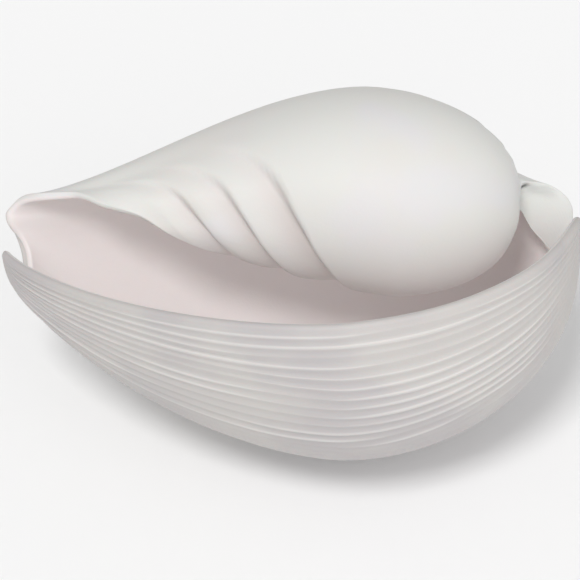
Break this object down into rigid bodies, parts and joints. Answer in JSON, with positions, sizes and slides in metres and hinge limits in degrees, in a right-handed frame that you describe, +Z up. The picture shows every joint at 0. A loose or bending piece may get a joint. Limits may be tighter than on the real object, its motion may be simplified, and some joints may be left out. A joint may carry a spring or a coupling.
{
  "type": "baler shell",
  "caption": "Large smooth sea shell resting on its back, mouth up, with a ribbed outer wall curving round an egg-shaped body whorl and a folded inner edge.",
  "frame": {"origin": "centre of the bounding box in plan, on the surface that the shell rests on", "axes": "+X along the coiling axis towards the broad closed end, -Y towards the ribbed outer lip, +Z up out of the mouth"},
  "size_m": [0.2406, 0.1828, 0.1348],
  "materials": {
    "matte_ceramic": "matte, unglazed, off-white with a faint pink tint inside"
  },
  "bodies": {
    "root": {"shell": "matte_ceramic"}
  },
  "joints": []
}
